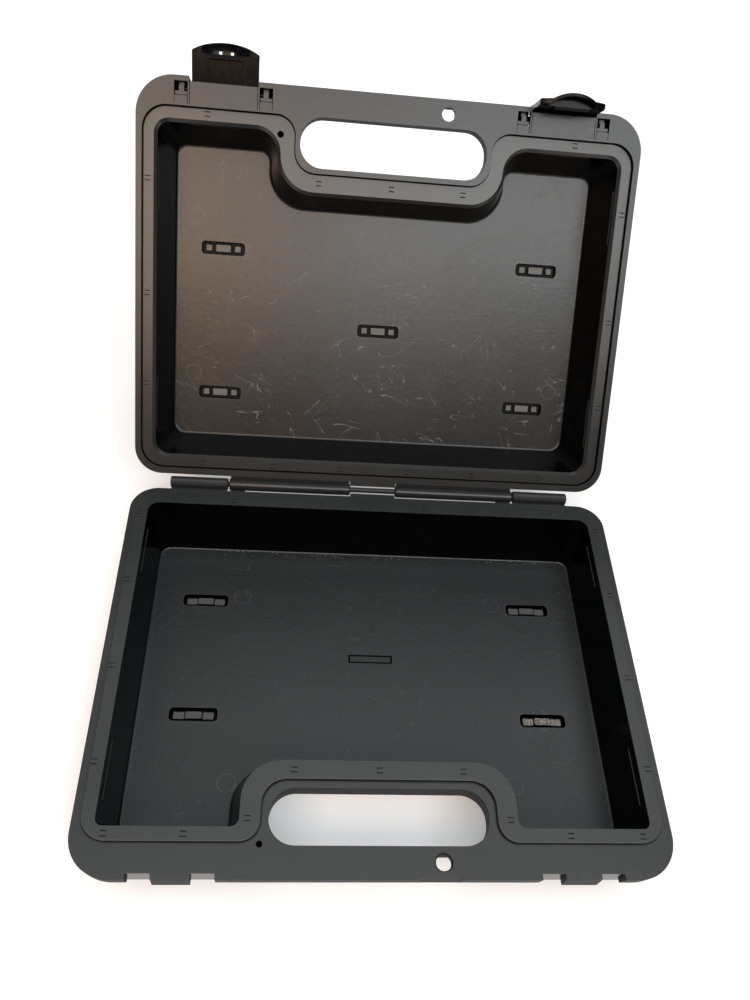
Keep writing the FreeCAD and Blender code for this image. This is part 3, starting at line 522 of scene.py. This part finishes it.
def clip_plastic(name, on_lid, tops, middle_depth, dirt):
    """The small inserts: grey tops that catch the light, painted shade near black below and between
    them.
    """
    shader = Shader(name)
    position, facing = shell_coordinates(shader, on_lid)
    _, _, depth = shader.split(position)
    mottle = shader.noise(position, 0.9, 4.0, 0.6)
    grain = shader.noise(position, 6.0, 2.0)
    upper = shader.rise(depth, middle_depth, middle_depth - 0.4)
    top = shader.times(shader.rise(facing, 0.85, 0.95), upper)
    residue = shader.times(shader.rise(shader.noise(position, 1.1, 5.0, 0.7), 0.46, 0.6), dirt, top)
    lit = shader.tint(mottle, lighter(tops, 0.75), lighter(tops, 1.2))
    # painted shade, near black, on all but the tops
    colour = shader.tint(top, SHADE_BLACK, lit)
    colour = shader.tint(residue, colour, RESIDUE)
    roughness = shader.add(0.40, shader.times(mottle, 0.2))
    dull = shader.times(shader.flip(top), 0.95)
    height = shader.add(shader.times(grain, 0.03), shader.times(mottle, 0.08))
    return shader.finish(colour, roughness, shader.bump(height, MM), {"IOR": 1.47, "Metallic": dull})


def plug_plastic(place):
    """The flush blank: the floor's plastic, with painted shade near black on its sides and in a line at
    its edge.
    """
    shader = Shader("plug_plastic")
    position, facing = shell_coordinates(shader, False)
    mottle = shader.noise(position, *MOTTLE)
    grain = shader.noise(position, *GRAIN)
    inner = tuple(half - 0.9 for half in PLUG_HALF)
    border = shader.rise(outside_rectangle(shader, position, place, inner), 0.0, 0.2)
    top = shader.times(shader.rise(facing, 0.9, 0.97), shader.flip(border))
    lit = shader.tint(mottle, lighter(PLUG, 0.8), lighter(PLUG, 1.2))
    # painted shade, near black, on the sides and in a line round the top
    colour = shader.tint(top, SHADE_BLACK, lit)
    height = skin(shader, grain, mottle)
    roughness = shader.add(0.42, shader.times(mottle, 0.1))
    dull = shader.times(shader.flip(top), 0.95)
    others = {"IOR": 1.47, "Metallic": dull}
    return shader.finish(colour, roughness, shader.bump(height, MM, 0.8), others)


def pin_steel():
    """Blackened wire, rubbed brighter along its length."""
    shader = Shader("pin_steel")
    position = millimetres(shader)
    drawn = shader.noise(shader.turned(position, 0, (0.02, 3.0, 3.0)), 1.0, 3.0)
    worn = shader.rise(shader.noise(position, 0.12, 3.0), 0.52, 0.7)
    colour = shader.tint(drawn, PIN_LOW, PIN_HIGH)
    colour = shader.tint(shader.times(worn, 0.4), colour, lighter(PIN_HIGH, 2.5))
    roughness = shader.add(0.38, shader.times(drawn, 0.2))
    return shader.finish(colour, roughness, shader.bump(drawn, 0.05 * MM), {"Metallic": 0.2})


def stage_matte():
    """Plain pale studio floor."""
    shader = Shader("stage_matte")
    tone = shader.noise(shader.node("TexCoord").outputs["Object"], 2.0, 3.0)
    colour = shader.tint(tone, lighter(STAGE, 0.98), STAGE)
    others = {"Specular IOR Level": 0.1, "Emission Color": opaque(STAGE),
              "Emission Strength": STAGE_GLOW}
    return shader.finish(colour, 0.9, shader.bump(tone, MM), others)


# ---------------------------------------------------------------- giving nodes their materials
def dress(node, material):
    slots = nodes[node].material_slots
    for number in range(len(slots)):
        slots[number].material = material


def dress_all():
    base_places = [shell_place("base_clip_" + corner, False) for corner in CORNERS]
    lid_places = [shell_place("lid_clip_" + corner, True) for corner in CORNERS + ("middle",)]
    dress("base_shell", shell_plastic("base_plastic", False, BASE_FLOOR, BASE_FACE, 0.15, base_places,
                                      BASE_EJECTORS, BASE_HOLE))
    dress("lid_shell", shell_plastic("lid_plastic", True, LID_FLOOR, LID_FACE, 0.9, lid_places,
                                     LID_EJECTORS, LID_HOLE))
    latch = latch_plastic()
    for node in ("latch_left", "latch_right"):
        dress(node, latch)
    base_depth, lid_depth = base_places[0].z, lid_places[0].z
    clean = clip_plastic("base_clip_plastic", False, BASE_CLIP, base_depth, 0.0)
    dirty = clip_plastic("dirty_clip_plastic", False, BASE_CLIP, base_depth, 0.6)
    on_lid = clip_plastic("lid_clip_plastic", True, LID_CLIP, lid_depth, 0.1)
    for corner in CORNERS:
        dress("base_clip_" + corner, dirty if corner == "front_right" else clean)
        dress("lid_clip_" + corner, on_lid)
    dress("lid_clip_middle", on_lid)
    dress("middle_blank_plug", plug_plastic(shell_place("middle_blank_plug", False)))
    dress("hinge_pin", pin_steel())


# ---------------------------------------------------------------- stage
def facing_matrix(place, aim, roll=0.0):
    """A matrix at place whose -Z looks at aim, rolled about that line."""
    turn = (aim - place).to_track_quat("-Z", "Y").to_matrix().to_4x4()
    return Matrix.Translation(place) @ turn @ Matrix.Rotation(roll, 4, "Z")


def studio_floor():
    half = 3.0
    mesh = bpy.data.meshes.new("studio_floor")
    corners = [(-half, -half, 0), (half, -half, 0), (half, half, 0), (-half, half, 0)]
    mesh.from_pydata(corners, [], [(0, 1, 2, 3)])
    floor = bpy.data.objects.new("studio_floor", mesh)
    floor.location.z = cad_box[0][2]
    mesh.materials.append(stage_matte())
    bpy.context.scene.collection.objects.link(floor)


def softbox(name, place, aim, size, radiance, colour):
    light = bpy.data.lights.new(name, "AREA")
    light.shape = "RECTANGLE"
    light.size, light.size_y = size
    light.energy = radiance * math.pi * size[0] * size[1]
    light.color = colour
    holder = bpy.data.objects.new(name, light)
    holder.matrix_world = facing_matrix(place, aim)
    bpy.context.scene.collection.objects.link(holder)


def lights():
    """A bright ceiling, two keys below it that the lid mirrors, a fainter light that the base
    mirrors, a fill for the case's back, and a dim room."""
    softbox("ceiling", CEILING_PLACE, CEILING_PLACE - Vector((0, 0, 1)), CEILING_SIZE,
            CEILING_RADIANCE, COOL)
    softbox("behind", BEHIND_PLACE, BEHIND_PLACE - Vector((0, 0, 1)), BEHIND_SIZE, BEHIND_RADIANCE, COOL)
    softbox("key_warm", KEY_WARM_PLACE, KEY_AIM, KEY_WARM_SIZE, KEY_WARM_RADIANCE, WARM)
    softbox("key_cool", KEY_COOL_PLACE, KEY_AIM, KEY_COOL_SIZE, KEY_COOL_RADIANCE, COOL)
    softbox("fill", FILL_PLACE, FILL_AIM, FILL_SIZE, FILL_RADIANCE, COOL)
    world = bpy.data.worlds.new("studio")
    world.use_nodes = True
    background = world.node_tree.nodes["Background"]
    background.inputs["Color"].default_value = opaque(SKY)
    background.inputs["Strength"].default_value = SKY_STRENGTH
    bpy.context.scene.world = world


def camera():
    data = bpy.data.cameras.new("camera")
    data.lens = CAMERA_LENS
    data.shift_x, data.shift_y = CAMERA_SHIFT
    data.clip_start = 0.01
    holder = bpy.data.objects.new("camera", data)
    holder.matrix_world = facing_matrix(CAMERA_PLACE, CAMERA_AIM, CAMERA_ROLL)
    bpy.context.scene.collection.objects.link(holder)
    bpy.context.scene.camera = holder


dress_all()
studio_floor()
lights()
camera()
bpy.context.scene.view_settings.view_transform = "Standard"
